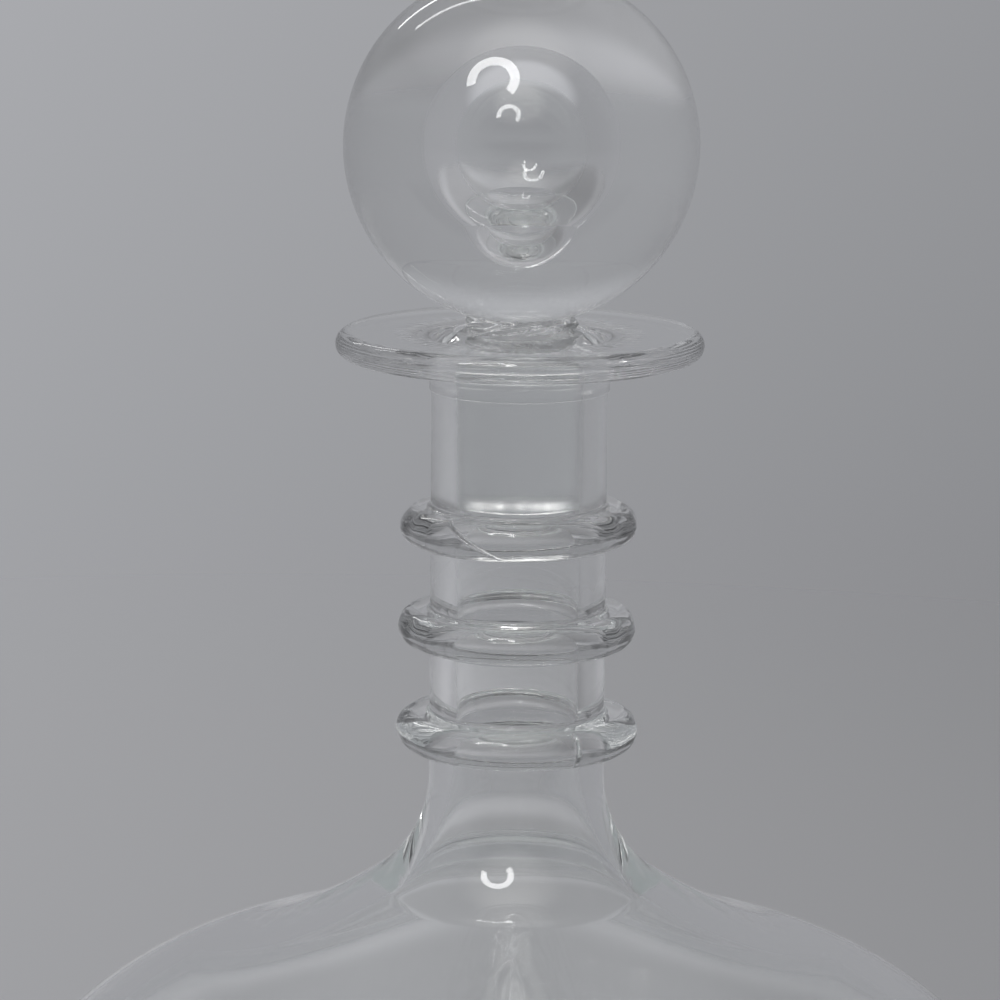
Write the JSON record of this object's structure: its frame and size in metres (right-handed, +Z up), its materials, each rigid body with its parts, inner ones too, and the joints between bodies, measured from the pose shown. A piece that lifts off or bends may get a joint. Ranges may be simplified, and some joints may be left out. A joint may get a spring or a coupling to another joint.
{
  "type": "ships decanter",
  "caption": "Clear glass ship's decanter: broad rounded bowl, ringed neck, wide flat lip, and a hollow ball stopper whose ground plug lifts straight out of the neck.",
  "frame": {"origin": "centre of the foot, on the surface that the decanter stands on", "axes": "+Z up along the axis that every piece is turned about; +X and +Y lie in the foot's plane"},
  "size_m": [0.214, 0.214, 0.263],
  "materials": {
    "clear_glass": "fire-polished clear blown glass",
    "ground_glass": "finely ground, matt clear glass"
  },
  "bodies": {
    "decanter": {"decanter_body": "clear_glass", "neck_ring_lower": "clear_glass", "neck_ring_middle": "clear_glass", "neck_ring_upper": "clear_glass", "pouring_lip": "clear_glass"},
    "stopper": {"stopper_ball": "clear_glass", "stopper_plug": "ground_glass"}
  },
  "joints": [
    {"name": "stopper_lift", "type": "slide", "parent": "decanter", "child": "stopper", "axis": [0, 0, 1], "range_m": [0, 0.1]}
  ]
}
